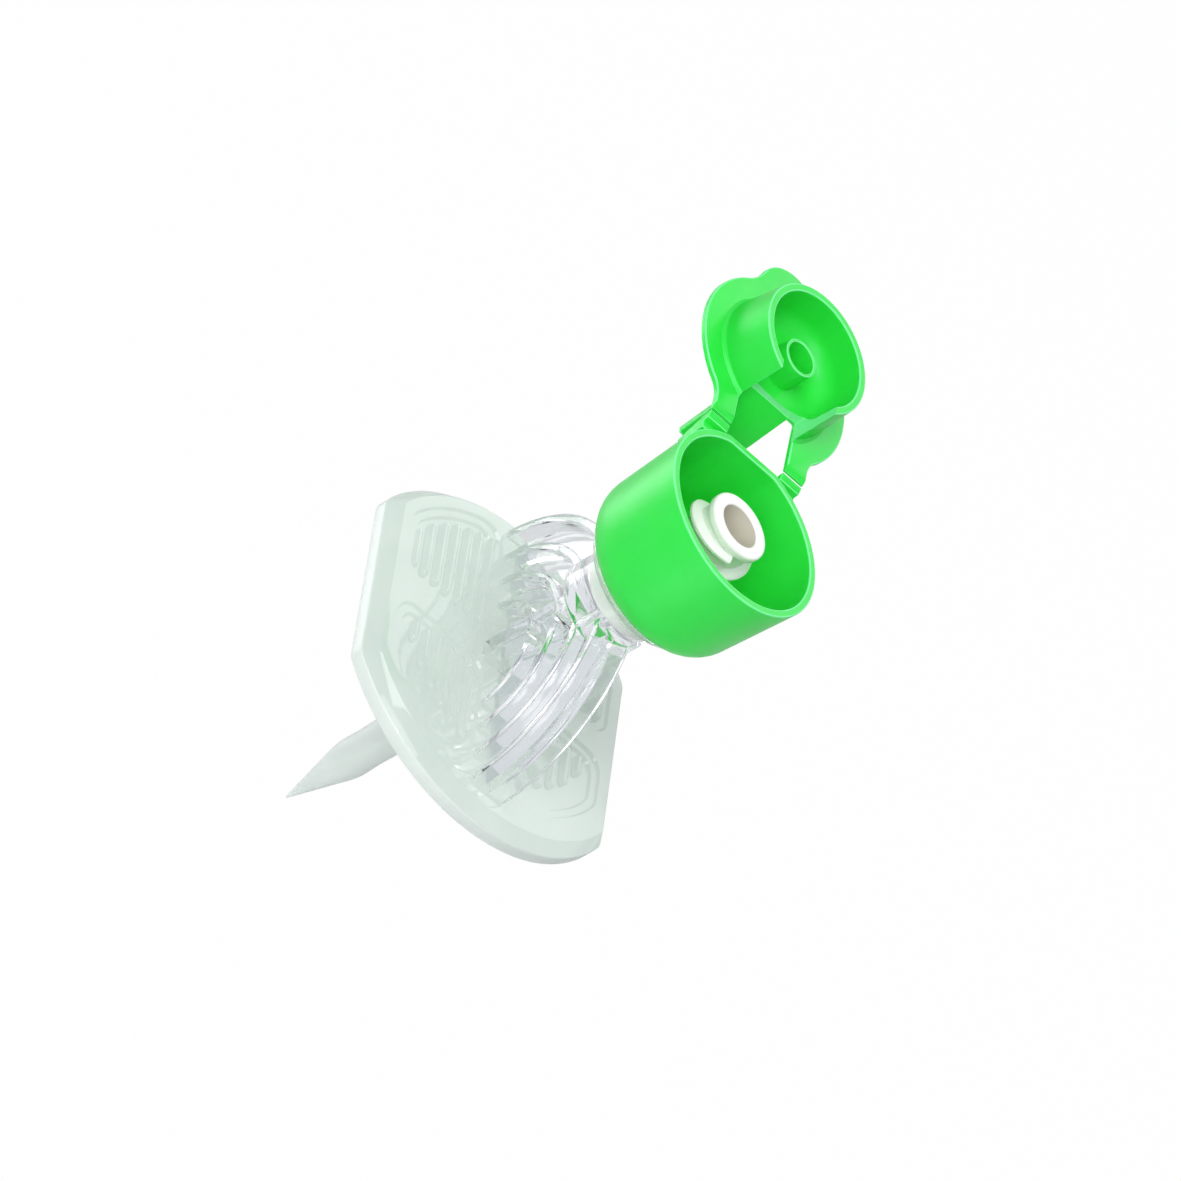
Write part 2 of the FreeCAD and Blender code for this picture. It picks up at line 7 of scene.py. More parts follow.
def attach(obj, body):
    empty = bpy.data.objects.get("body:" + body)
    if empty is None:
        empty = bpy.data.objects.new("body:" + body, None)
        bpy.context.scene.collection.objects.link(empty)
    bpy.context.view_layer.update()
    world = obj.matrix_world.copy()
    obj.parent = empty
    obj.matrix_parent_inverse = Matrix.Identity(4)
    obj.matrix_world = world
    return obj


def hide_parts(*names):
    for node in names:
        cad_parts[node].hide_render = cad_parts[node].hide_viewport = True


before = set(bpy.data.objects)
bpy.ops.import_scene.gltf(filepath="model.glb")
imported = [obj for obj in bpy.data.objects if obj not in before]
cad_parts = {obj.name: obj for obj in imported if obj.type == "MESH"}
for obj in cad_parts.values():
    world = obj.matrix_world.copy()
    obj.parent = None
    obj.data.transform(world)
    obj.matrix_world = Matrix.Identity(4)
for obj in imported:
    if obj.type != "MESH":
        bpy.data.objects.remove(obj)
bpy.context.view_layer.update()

# Spike and base plate. One white moulding of a hard styrenic: a round plate with two
# flats, and a slender hollow spike that goes through a vial's stopper. The mould
# leaves its edges slightly soft.
MM = 0.001
PLATE_RADIUS = 18.6
PLATE_HALF_WIDTH = 15.8
PLATE_CORNER = 2.0
BASE_THICKNESS = 1.45
SPIKE_LENGTH = 25.2
SPIKE_ROOT_RADIUS = 2.1
SPIKE_ROOT_LENGTH = 3.0
SPIKE_CONE = 8.2
SPIKE_SHOULDER_RADIUS = 1.93
SPIKE_WAIST_RADIUS = 1.85
SPIKE_WAIST = 10.7
FLUID_LUMEN = (0.55, 0.0, 0.65)
AIR_LUMEN = (0.0, 1.15, 0.4)
FLUID_MOUTH = 3.1
AIR_MOUTH = 5.2
SEAT_FLOOR = 0.95
SEAT_INNER = 3.6
SEAT_OUTER = 10.4
VENT_COUNT = 8
VENT_RING = 7.0
VENT_RADIUS = 0.5


def arc(middle_x, middle_y, radius, start, end, steps=8):
    """Points along an arc between two angles in degrees, both ends included."""
    turns = [math.radians(start + (end - start) * step / steps) for step in range(steps + 1)]
    return [(middle_x + radius * math.cos(t), middle_y + radius * math.sin(t)) for t in turns]


def softened(corners, steps=4):
    """A closed outline of (x, y, radius) corners, each rounded by its own radius."""
    points = []
    for place, (x, y, radius) in enumerate(corners):
        here = Vector((x, y))
        if not radius:
            points.append((x, y))
            continue
        back = (Vector(corners[place - 1][:2]) - here).normalized()
        ahead = (Vector(corners[(place + 1) % len(corners)][:2]) - here).normalized()
        half = back.angle(ahead) / 2
        middle = here + (back + ahead).normalized() * (radius / math.sin(half))
        first = here + back * (radius / math.tan(half)) - middle
        sweep = math.pi - half * 2
        side = 1 if back.x * ahead.y - back.y * ahead.x < 0 else -1
        for step in range(steps + 1):
            spoke = Matrix.Rotation(side * sweep * step / steps, 2) @ first
            points.append(tuple(middle + spoke))
    return points


def plate_outline(inset=0.0):
    """The round plate with its two flats, drawn in by an inset."""
    radius, side = PLATE_RADIUS - inset, PLATE_HALF_WIDTH - inset
    corner = PLATE_CORNER - inset / 2
    rise = math.sqrt((radius - corner) ** 2 - (side - corner) ** 2)
    tilt = math.degrees(math.atan2(rise, side - corner))
    quarter = arc(side - corner, rise, corner, 0, tilt, 8)[:-1]
    quarter += arc(0, 0, radius, tilt, 90, 32)
    half = quarter + [(-x, y) for x, y in reversed(quarter[:-1])]
    return half + [(-x, -y) for x, y in half]


def prism(outline, low, high, soften=0.0, lower_rim=True):
    """A flat piece between two heights, with its upper or both rims softened."""
    bm = bmesh.new()
    face = bm.faces.new([bm.verts.new((x, y, low)) for x, y in outline])
    raised = bmesh.ops.extrude_face_region(bm, geom=[face])["geom"]
    top = [item for item in raised if isinstance(item, bmesh.types.BMVert)]
    bmesh.ops.translate(bm, verts=top, vec=(0, 0, high - low))
    bmesh.ops.recalc_face_normals(bm, faces=bm.faces)
    if soften:
        heights = (low, high) if lower_rim else (high,)
        chosen = [edge for edge in bm.edges
                  if any(all(abs(v.co.z - z) < 1e-4 for v in edge.verts) for z in heights)]
        bmesh.ops.bevel(bm, geom=chosen, offset=soften, offset_type="OFFSET", segments=3,
                        profile=0.5, affect="EDGES", clamp_overlap=True, material=-1)
    return bm


def lathe(profile, steps=128):
    """A profile of (radius, height) points turned once about the Z axis."""
    bm = bmesh.new()
    points = [bm.verts.new((radius, 0, height)) for radius, height in profile]
    pairs = list(zip(points, points[1:]))
    if profile[0][0] > 0:
        pairs.append((points[-1], points[0]))
    edges = [bm.edges.new(pair) for pair in pairs]
    bmesh.ops.spin(bm, geom=points + edges, cent=(0, 0, 0), axis=(0, 0, 1), dvec=(0, 0, 0),
                   angle=math.tau, steps=steps, use_merge=True, use_duplicate=False)
    bmesh.ops.remove_doubles(bm, verts=bm.verts, dist=1e-4)
    bmesh.ops.recalc_face_normals(bm, faces=bm.faces)
    return bm


def tube(x, y, radius, low, high, steps=32):
    """A round bar along Z, for a hole."""
    return prism(arc(x, y, radius, 0, 360, steps)[:-1], low, high)


def solid(bm, name):
    """An object in millimetres, ready to be joined or cut."""
    mesh = bpy.data.meshes.new(name)
    bm.to_mesh(mesh)
    bm.free()
    piece = bpy.data.objects.new(name, mesh)
    bpy.context.collection.objects.link(piece)
    return piece


def work(base, bm, operation):
    """Join a solid to the base or cut it away."""
    tool = solid(bm, "tool")
    step = base.modifiers.new("work", "BOOLEAN")
    step.operation = operation
    step.solver = "MANIFOLD"
    step.object = tool
    graph = bpy.context.evaluated_depsgraph_get()
    before, after = base.data, bpy.data.meshes.new_from_object(base.evaluated_get(graph))
    base.modifiers.clear()
    base.data = after
    after.name = base.name
    bpy.data.meshes.remove(before)
    bpy.data.objects.remove(tool)


def finish(piece, material, body, node, crease=30):
    """Scale a piece to metres, shade it and put it in its node's place."""
    piece.data.transform(Matrix.Scale(MM, 4))
    piece.data.polygons.foreach_set("use_smooth", [True] * len(piece.data.polygons))
    piece.data.set_sharp_from_angle(angle=math.radians(crease))
    piece.data.materials.clear()
    piece.data.materials.append(material)
    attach(piece, body)
    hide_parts(node)


def colour(red, green, blue):
    """A colour written as the eight-bit values that it shows on screen."""
    steps = [value / 255 for value in (red, green, blue)]
    return tuple(((v + 0.055) / 1.055) ** 2.4 if v > 0.04045 else v / 12.92 for v in steps) + (1.0,)


def plastic(name, darker, lighter, grain, relief):
    """A moulded plastic whose tone and surface wander slightly with the melt's flow."""
    material = bpy.data.materials.new(name)
    material.use_nodes = True
    nodes, links = material.node_tree.nodes, material.node_tree.links
    shader = nodes["Principled BSDF"]
    where = nodes.new("ShaderNodeTexCoord")
    flow = nodes.new("ShaderNodeTexNoise")
    flow.inputs["Scale"].default_value = grain
    flow.inputs["Detail"].default_value = 3.0
    links.new(where.outputs["Object"], flow.inputs["Vector"])
    tone = nodes.new("ShaderNodeMixRGB")
    tone.inputs["Color1"].default_value = darker
    tone.inputs["Color2"].default_value = lighter
    links.new(flow.outputs["Fac"], tone.inputs["Fac"])
    links.new(tone.outputs["Color"], shader.inputs["Base Color"])
    bump = nodes.new("ShaderNodeBump")
    bump.inputs["Strength"].default_value = relief
    bump.inputs["Distance"].default_value = 0.0001
    links.new(flow.outputs["Fac"], bump.inputs["Height"])
    links.new(bump.outputs["Normal"], shader.inputs["Normal"])
    return material, shader


white, shader = plastic("white_styrenic", colour(205, 215, 209), colour(219, 227, 221), 220, 0.08)
shader.inputs["Roughness"].default_value = 0.38
shader.inputs["Subsurface Weight"].default_value = 0.25
shader.inputs["Subsurface Radius"].default_value = (0.0006, 0.0007, 0.0006)
shader.inputs["Subsurface Scale"].default_value = 1.0

spike_base = solid(prism(plate_outline(), 0.0, BASE_THICKNESS, 0.18), "spike_and_plate")
shank = softened([
    (0.0, -SPIKE_LENGTH, 0), (0.09, -SPIKE_LENGTH, 0),
    (SPIKE_SHOULDER_RADIUS, SPIKE_CONE - SPIKE_LENGTH, 9.0),
    (SPIKE_WAIST_RADIUS, SPIKE_WAIST - SPIKE_LENGTH, 9.0),
    (SPIKE_ROOT_RADIUS, -SPIKE_ROOT_LENGTH, 9.0),
    (SPIKE_ROOT_RADIUS, -0.35, 0.0), (SPIKE_ROOT_RADIUS + 0.25, 0.0, 0.0),
    (SPIKE_ROOT_RADIUS + 0.25, 0.4, 0), (0.0, 0.4, 0),
], steps=6)
work(spike_base, lathe(shank, 64), "UNION")
seat = lathe([
    (SEAT_INNER, SEAT_FLOOR), (SEAT_OUTER, SEAT_FLOOR), (SEAT_OUTER, 2.0), (SEAT_INNER, 2.0),
])
work(spike_base, seat, "DIFFERENCE")
for step in range(VENT_COUNT):
    turned = math.tau * step / VENT_COUNT
    x, y = VENT_RING * math.cos(turned), VENT_RING * math.sin(turned)
    vent = tube(x, y, VENT_RADIUS, -1.0, 2.0, 24)
    work(spike_base, vent, "DIFFERENCE")
work(spike_base, tube(*FLUID_LUMEN, FLUID_MOUTH - SPIKE_LENGTH, 3.0), "DIFFERENCE")
work(spike_base, tube(*AIR_LUMEN, AIR_MOUTH - SPIKE_LENGTH, 3.0), "DIFFERENCE")
finish(spike_base, white, "spike_body", "spike_base")


# Air filter. A white disc of felted membrane with a hole for the fluid's way, laid in a
# seat of the plate and sealed in by the clear cover. It fills its seat to the cover.
membrane, shader = plastic(
    "felted_membrane", colour(205, 215, 209), colour(221, 228, 222), 2400, 0.3)
shader.inputs["Roughness"].default_value = 0.6
FELT_LAP = 0.02
FELT_FOOT = SEAT_FLOOR + FELT_LAP
FELT_TOP = BASE_THICKNESS - 0.005
felt = lathe([
    (SEAT_INNER - FELT_LAP, FELT_FOOT), (SEAT_OUTER + FELT_LAP, FELT_FOOT),
    (SEAT_OUTER + FELT_LAP, FELT_TOP), (SEAT_INNER - FELT_LAP, FELT_TOP),
])
finish(solid(felt, "felt_disc"), membrane, "spike_body", "air_filter")


# Clear grip. One clear styrenic moulding: a bevelled cover welded to the plate, finger
# panels with ribs, and four nested arches with a web and a column between them, which
# carry the neck and its flange under the cup.
COVER_FOOT = BASE_THICKNESS - 0.03
COVER_TOP = 2.8
BEVEL_WIDTH = 1.05
PANEL_DEPTH = 0.25
PANEL_STEP = 0.85
PANEL_SIDE = 13.45
PANEL_GRIP = 2.25
PANEL_BEND = 2.2
PANEL_START = 1.3
PANEL_RADII = {1: 16.3, -1: 15.2}
RIB_STARTS = {1: 3.3, -1: 2.6}
RIB_RADII = {1: 14.7, -1: 12.0}
RIB_COUNT = 7
RIB_FIRST = 3.47
RIB_PITCH = 1.47
RIB_HALF = 0.42
RIB_HEIGHT = 0.48
ARCH_RADIUS = 16.5
ARCH_PITCH = 3.2
ARCH_THICKNESS = 0.95
ARCH_HALF_WIDTH = 2.05
ARCH_COUNT = 4
ARCH_ROOT = 0.65
WEB_HALF = 0.45
COLUMN_REACH = 2.8
COLUMN_HALF = 1.1
NECK_RADIUS = 4.7
NECK_FOOT = 12.6
CUP_FOOT = 20.3
FLANGE_FOOT = 19.85
FLANGE_RADIUS = 6.5
SHANK_RADIUS = 3.0
SHANK_FOOT = 16.9
UPRIGHT = Matrix(((0, 0, 1, 0), (1, 0, 0, 0), (0, 1, 0, 0), (0, 0, 0, 1)))


def loft(rings):
    """A solid through outlines of equal point count, each (outline, height)."""
    bm = bmesh.new()
    loops = []
    for outline, height in rings:
        points = [bm.verts.new((x, y, height)) for x, y in outline]
        loops.append([bm.edges.new(pair) for pair in zip(points, points[1:] + points[:1])])
    for lower, upper in zip(loops, loops[1:]):
        bmesh.ops.bridge_loops(bm, edges=lower + upper)
    for loop in (loops[0], loops[-1]):
        bmesh.ops.contextual_create(bm, geom=loop)
    bmesh.ops.recalc_face_normals(bm, faces=bm.faces)
    return bm


def panel_outline(radius, inset, east, north):
    """A finger panel: a box corner by the grip, closed by an arc round the plate."""
    grip, side = PANEL_GRIP + inset, PANEL_SIDE - inset
    low, reach = PANEL_START + inset, radius - inset
    bend = PANEL_BEND - inset / 2
    outer = math.sqrt((reach - bend) ** 2 - (side - bend) ** 2)
    inner = math.sqrt((reach - bend) ** 2 - (grip + bend) ** 2)
    first = math.degrees(math.atan2(outer, side - bend))
    last = math.degrees(math.atan2(inner, grip + bend))
    points = arc(side - bend, low + bend, bend, -90, 0)
    points += arc(side - bend, outer, bend, 0, first)
    points += arc(0, 0, reach, first, last, 24)[1:-1]
    points += arc(grip + bend, inner, bend, last, 180)
    points += arc(grip + bend, low + bend, bend, 180, 270)
    return [(x * east, y * north) for x, y in points]


def add_finger_panel(grip, east, north):
    """Two shallow steps with sloped sides, then round-topped ribs on their floor."""
    radius, rib_start, rib_radius = PANEL_RADII[north], RIB_STARTS[north], RIB_RADII[north]
    for step in range(2):
        inset, top = PANEL_STEP * step, COVER_TOP - PANEL_DEPTH * step
        work(grip, loft([
            (panel_outline(radius, inset + 0.2, east, north), top - PANEL_DEPTH),
            (panel_outline(radius, inset - 0.1, east, north), top + 0.1),
        ]), "DIFFERENCE")
    floor = COVER_TOP - PANEL_DEPTH * 2
    for place in range(RIB_COUNT):
        middle = RIB_FIRST + RIB_PITCH * place
        if math.hypot(middle, rib_start + 0.85) > rib_radius:
            continue
        end = math.sqrt(rib_radius ** 2 - middle ** 2)
        outline = arc(middle, end - RIB_HALF, RIB_HALF, 0, 180)
        outline += arc(middle, rib_start + RIB_HALF, RIB_HALF, 180, 360)
        outline = [(x * east, y * north) for x, y in outline]
        work(grip, prism(outline, floor - 0.15, floor + RIB_HEIGHT, 0.3, lower_rim=False), "UNION")


def upright_prism(outline, half_width, soften):
    """A flat piece that stands across the plate, drawn in (y, z)."""
    bm = prism(outline, -half_width, half_width, soften)
    bmesh.ops.transform(bm, verts=bm.verts, matrix=UPRIGHT)
    return bm


def sector(radius, base):
    """The angle at which a circle about the cover's foot meets a height over it."""
    return math.degrees(math.asin(base / radius))


grip = solid(loft([
    (plate_outline(0.1), COVER_FOOT), (plate_outline(0.02), COVER_FOOT + 0.08),
    (plate_outline(0.12), COVER_FOOT + 0.2),
    (plate_outline(BEVEL_WIDTH - 0.06), COVER_TOP - 0.1),
    (plate_outline(BEVEL_WIDTH + 0.04), COVER_TOP - 0.02),
    (plate_outline(BEVEL_WIDTH + 0.14), COVER_TOP),
]), "clear_grip")
for east in (1, -1):
    for north in (1, -1):
        add_finger_panel(grip, east, north)

inside = ARCH_RADIUS - ARCH_THICKNESS / 2
tilt = sector(inside, ARCH_ROOT)
web = arc(0, BASE_THICKNESS, inside, tilt, 180 - tilt, 64)
work(grip, upright_prism(web, WEB_HALF, 0.0), "UNION")
for place in range(ARCH_COUNT):
    outer = ARCH_RADIUS - ARCH_PITCH * place
    inner = outer - ARCH_THICKNESS
    low, high = sector(outer, ARCH_ROOT), sector(inner, ARCH_ROOT)
    band = arc(0, BASE_THICKNESS, outer, low, 180 - low, 72)
    band += arc(0, BASE_THICKNESS, inner, 180 - high, high, 72)
    work(grip, upright_prism(band, ARCH_HALF_WIDTH, 0.2), "UNION")
column = softened([
    (COLUMN_REACH, -COLUMN_HALF, 0.25), (COLUMN_REACH, COLUMN_HALF, 0.25),
    (-COLUMN_REACH, COLUMN_HALF, 0.25), (-COLUMN_REACH, -COLUMN_HALF, 0.25),
])
work(grip, prism(column, 2.0, 20.5), "UNION")
neck = softened([
    (0, NECK_FOOT, 0), (COLUMN_HALF, NECK_FOOT, 0), (NECK_RADIUS, NECK_FOOT + 1.8, 1.0),
    (NECK_RADIUS, FLANGE_FOOT, 0.3), (FLANGE_RADIUS, FLANGE_FOOT, 0.15),
    (FLANGE_RADIUS, CUP_FOOT - 0.02, 0.15), (0, CUP_FOOT - 0.02, 0),
])
work(grip, lathe(neck), "UNION")
work(grip, tube(0, 0, SHANK_RADIUS - 0.03, SHANK_FOOT + 0.03, 22.0, 64), "DIFFERENCE")
work(grip, tube(*FLUID_LUMEN, 1.0, 18.0), "DIFFERENCE")

clear = bpy.data.materials.new("clear_styrenic")
clear.use_nodes = True
nodes, links = clear.node_tree.nodes, clear.node_tree.links
shader = nodes["Principled BSDF"]
shader.inputs["Base Color"].default_value = (0.98, 0.985, 0.985, 1.0)
shader.inputs["Transmission Weight"].default_value = 1.0
shader.inputs["IOR"].default_value = 1.40
shader.inputs["Roughness"].default_value = 0.07
where = nodes.new("ShaderNodeTexCoord")
flow = nodes.new("ShaderNodeTexNoise")
flow.inputs["Scale"].default_value = 300
links.new(where.outputs["Object"], flow.inputs["Vector"])
bump = nodes.new("ShaderNodeBump")
bump.inputs["Strength"].default_value = 0.05
bump.inputs["Distance"].default_value = 0.0001
links.new(flow.outputs["Fac"], bump.inputs["Height"])
links.new(bump.outputs["Normal"], shader.inputs["Normal"])
through = nodes.new("ShaderNodeBsdfTransparent")
through.inputs["Color"].default_value = (0.94, 0.95, 0.95, 1.0)
blend = nodes.new("ShaderNodeMixShader")
path = nodes.new("ShaderNodeLightPath")
either = nodes.new("ShaderNodeMath")
either.operation = "MAXIMUM"
links.new(path.outputs["Is Shadow Ray"], either.inputs[0])
links.new(path.outputs["Is Diffuse Ray"], either.inputs[1])
links.new(either.outputs[0], blend.inputs["Fac"])
links.new(shader.outputs["BSDF"], blend.inputs[1])
links.new(through.outputs["BSDF"], blend.inputs[2])

# Rays that stay caught between the faces of the clear plastic end in a painted pale glow, an
# emission that stands in for the light that would come through.
caught = nodes.new("ShaderNodeMath")
caught.operation = "GREATER_THAN"
caught.inputs[1].default_value = 5.5
links.new(path.outputs["Ray Depth"], caught.inputs[0])
painted_glow = nodes.new("ShaderNodeEmission")
painted_glow.inputs["Color"].default_value = colour(222, 226, 231)
ending = nodes.new("ShaderNodeMixShader")
links.new(caught.outputs[0], ending.inputs["Fac"])
links.new(blend.outputs["Shader"], ending.inputs[1])
links.new(painted_glow.outputs["Emission"], ending.inputs[2])
links.new(ending.outputs["Shader"], nodes["Material Output"].inputs["Surface"])
finish(grip, clear, "spike_body", "clear_housing", 22)


# Syringe port. A white moulding pressed into the neck: a barrel with a conical socket
# of 6 percent taper, a rim and two thread starts for a locking collar.
PORT_MOUTH = 31.9
SOCKET_RADIUS = 2.15
SOCKET_DEPTH = 8.0
SOCKET_END_RADIUS = SOCKET_RADIUS - 0.03 * SOCKET_DEPTH
BARREL_RADIUS = 3.05
RIM_RADIUS = 3.4
FOOT_RING_RADIUS = 4.6
FOOT_RING_LOW = 22.08
FOOT_RING_HIGH = 22.85
THREAD_TURN = 274
THREAD_RISE = 3.3
THREAD_STEPS = 68
port_white, shader = plastic("white_port", colour(232, 238, 230), colour(242, 245, 240), 260, 0.08)
shader.inputs["Roughness"].default_value = 0.32
shader.inputs["Subsurface Weight"].default_value = 0.3
shader.inputs["Subsurface Radius"].default_value = (0.0008, 0.0009, 0.0007)
shader.inputs["Subsurface Scale"].default_value = 1.0
barrel = softened([
    (0.0, SHANK_FOOT, 0), (SHANK_RADIUS, SHANK_FOOT, 0.2), (SHANK_RADIUS, FOOT_RING_LOW, 0),
    (FOOT_RING_RADIUS, FOOT_RING_LOW, 0.2), (FOOT_RING_RADIUS, FOOT_RING_HIGH, 0.3),
    (BARREL_RADIUS, FOOT_RING_HIGH, 0.3), (BARREL_RADIUS, PORT_MOUTH - 1.05, 0.1),
    (RIM_RADIUS, PORT_MOUTH - 0.7, 0.15), (RIM_RADIUS, PORT_MOUTH, 0.25),
    (SOCKET_RADIUS, PORT_MOUTH, 0.15), (SOCKET_END_RADIUS, PORT_MOUTH - SOCKET_DEPTH, 0.1),
    (0.0, PORT_MOUTH - SOCKET_DEPTH, 0),
])
port = solid(lathe(barrel, 96), "port_barrel")
for side in (1, -1):
    bm = bmesh.new()
    section = [(2.9, 26.8), (3.8, 27.05), (4.0, 27.25), (4.0, 27.5), (3.8, 27.7), (2.9, 27.95)]
    face = bm.faces.new([bm.verts.new((radius * side, 0, height)) for radius, height in section])
    shape = bm.verts[:] + bm.edges[:] + bm.faces[:]
    bmesh.ops.spin(bm, geom=shape, cent=(0, 0, 0), axis=(0, 0, 1),
                   dvec=(0, 0, THREAD_RISE / THREAD_STEPS), angle=math.radians(THREAD_TURN),
                   steps=THREAD_STEPS, use_merge=False, use_duplicate=False)
    bmesh.ops.holes_fill(bm, edges=[edge for edge in bm.edges if edge.is_boundary])
    bmesh.ops.recalc_face_normals(bm, faces=bm.faces)
    work(port, bm, "UNION")
work(port, tube(*FLUID_LUMEN, 16.0, 25.0), "DIFFERENCE")
finish(port, port_white, "spike_body", "syringe_port")
# The socket's inside gets a darker grey-beige: painted shade of the deep bore.
inner, shader = plastic("port_bore_painted_shade", colour(198, 194, 178), colour(212, 208, 192), 260, 0.08)
shader.inputs["Roughness"].default_value = 0.4
port.data.materials.append(inner)
for face in port.data.polygons:
    middle = face.center / MM
    deep = PORT_MOUTH - middle.z
    if math.hypot(middle.x, middle.y) < SOCKET_RADIUS + 0.05 and 0.4 < deep < SOCKET_DEPTH + 0.2:
        face.material_index = 1


# Green collar. A cup of soft polyolefin, clamped by the port's flange on the neck. Its
# wall is flat between two brackets that carry the film hinge of the lid.
CUP_FLAT = 8.9
CUP_WALL = 0.75
STRAP_INNER = 3.6
STRAP_OUTER = 6.1
CUP_FLOOR = 22.05
CUP_FOOT_RADIUS = 8.65
CUP_RIM_RADIUS = 9.4
CUP_BEND = 3.7
CUP_EDGE = 0.13
CUP_FLARE = 0.04
CUP_RIM = 32.5
green, shader = plastic("green_polyolefin", colour(38, 211, 60), colour(48, 221, 72), 260, 0.08)
shader.inputs["Roughness"].default_value = 0.36
shader.inputs["Specular Tint"].default_value = (0.55, 1.0, 0.88, 1.0)
shader.inputs["Subsurface Weight"].default_value = 0.45
shader.inputs["Subsurface Radius"].default_value = (0.0006, 0.0014, 0.0007)
shader.inputs["Subsurface Scale"].default_value = 1.0
wall = [(SHANK_RADIUS - 0.03, CUP_FOOT, 0), (CUP_FOOT_RADIUS, CUP_FOOT, CUP_BEND),
        (CUP_RIM_RADIUS, CUP_RIM, CUP_EDGE), (CUP_RIM_RADIUS - CUP_WALL, CUP_RIM, CUP_EDGE),
        (8.2, CUP_FLOOR, 2.25), (SHANK_RADIUS - 0.03, CUP_FLOOR, 0)]
bm = lathe(softened(wall, 9), 192)
half_wall = CUP_WALL / 2
for vert in bm.verts:
    reach = math.hypot(vert.co.x, vert.co.y)
    if reach > 8.0 and abs(vert.co.x) < STRAP_INNER and vert.co.y > 0:
        middle = CUP_RIM_RADIUS - half_wall + (vert.co.z - CUP_RIM) * CUP_FLARE
        limit = CUP_FLAT - half_wall + max(min(reach - middle, half_wall), -half_wall)
        vert.co.y = min(vert.co.y, limit)
collar = solid(bm, "green_cup")
for side in (1, -1):
    strap = softened([(7.9, 31.9, 0.1), (7.9, 28.4, 0.1), (9.5, 32.3, 0.05), (9.5, 32.8, 0.05),
                      (8.8, 32.5, 0.1), (8.7, 31.9, 0.1)])
    bm = upright_prism(strap, (STRAP_OUTER - STRAP_INNER) / 2, 0.05)
    middle = side * (STRAP_OUTER + STRAP_INNER) / 2
    bmesh.ops.translate(bm, verts=bm.verts, vec=(middle, 0, 0))
    work(collar, bm, "UNION")
finish(collar, green, "spike_body", "cap_collar")

# Small outward roundings of the green plastic get a paler green: a painted highlight that stands in
# for the sheen of the rounded edges and the light through thin plastic.
EDGE_BEND = 2.5
EDGE_TURN = 0.09
EDGE_WIDTH = 0.12
green_painted_highlight, highlight_shader = plastic("green_painted_edge_highlight", colour(104, 236, 142),
                                  colour(124, 242, 158), 260, 0.08)
highlight_shader.inputs["Roughness"].default_value = 0.36


def paint_edge_highlights(piece):
    """Paint a paler green highlight on a piece's small outward roundings."""
    piece.data.materials.append(green_painted_highlight)
    bm = bmesh.new()
    bm.from_mesh(piece.data)
    bm.normal_update()
    for edge in bm.edges:
        if len(edge.link_faces) != 2:
            continue
        one, two = edge.link_faces
        apart = (one.calc_center_median() - two.calc_center_median()).length / MM
        turned = edge.calc_face_angle_signed(0.0)
        if turned > EDGE_TURN and turned / max(apart, 1e-6) > EDGE_BEND:
            for face in (one, two):
                if min(side.calc_length() for side in face.edges) / MM < EDGE_WIDTH:
                    face.material_index = 1
    bm.to_mesh(piece.data)
    bm.free()


paint_edge_highlights(collar)


# Green lid. Moulded open in one shot with the cup: a flange with a thumb tab, a bell
# that closes over the port, a hollow plug for the port's mouth, a tongue behind and
# two straps that thin to a film at the hinge.
HINGE = Vector((0.0, 9.6, 32.9))
LID_TILT = 5.1
LID_MIDDLE = HINGE.y
LID_FACE = 0.3
LID_THICKNESS = 0.6
LID_RADIUS = 9.3
LID_CHORD = 5.9
TAB_REACH = 8.4
TAB_RADIUS = 3.9
TAB_BLEND = 5.0
BELL_TOP = LID_FACE + 5.16
BELL_FOOT_RADIUS = 6.86
BELL_RIM_RADIUS = 6.46
BELL_BORE = 5.71
BELL_BEND = 2.2
PLUG_TOP = 3.5
PLUG_ROOT_RADIUS = 1.98
PLUG_TIP_RADIUS = 1.92
PLUG_BORE = 1.6
TONGUE_LEAN = 13.0
TONGUE_LENGTH = 8.6
TONGUE_THICKNESS = 0.8
TONGUE_HALF = 2.8
bell = [(0, 0.1, 0), (7.15, 0.1, 0), (7.15, LID_FACE + 0.02, 0),
        (BELL_FOOT_RADIUS, LID_FACE + 0.3, 0.3), (BELL_RIM_RADIUS, BELL_TOP, CUP_EDGE),
        (BELL_BORE, BELL_TOP, CUP_EDGE), (BELL_BORE, LID_FACE + 0.4, BELL_BEND),
        (0, LID_FACE + 0.4, 0)]
bm = lathe(softened(bell, 9), 144)
bmesh.ops.translate(bm, verts=bm.verts, vec=(0, LID_MIDDLE, 0))
lid = solid(bm, "green_lid")

foot = LID_MIDDLE - math.sqrt(LID_RADIUS ** 2 - STRAP_OUTER ** 2)
first = math.degrees(math.atan2(foot - LID_MIDDLE, STRAP_OUTER))
rise = (LID_RADIUS + TAB_BLEND) ** 2 - (TAB_RADIUS + TAB_BLEND) ** 2 + TAB_REACH ** 2
rise /= 2 * TAB_REACH
aside = math.sqrt((LID_RADIUS + TAB_BLEND) ** 2 - rise ** 2)
last = math.degrees(math.atan2(rise, aside))
turn = math.degrees(math.atan2(rise - TAB_REACH, aside))
half = [(STRAP_INNER, LID_CHORD, 0.15), (STRAP_INNER, 0.1, 0), (STRAP_OUTER, 0.1, 0),
        (STRAP_OUTER, foot, 2.6)]
half += [(x, y, 0) for x, y in arc(0, LID_MIDDLE, LID_RADIUS, first + 9, last, 36)]
blend = arc(aside, LID_MIDDLE + rise, TAB_BLEND, last + 180, turn + 180, 8)[1:]
tab = arc(0, LID_MIDDLE + TAB_REACH, TAB_RADIUS, turn, 90, 8)[1:]
half += [(x, y, 0) for x, y in blend + tab]
half = softened(half + [(0, LID_CHORD, 0)], 6)[:-1]
outline = half + [(-x, y) for x, y in reversed(half[:-1])]
flange = prism(outline, LID_FACE - LID_THICKNESS, LID_FACE, 0.13)
work(lid, flange, "UNION")
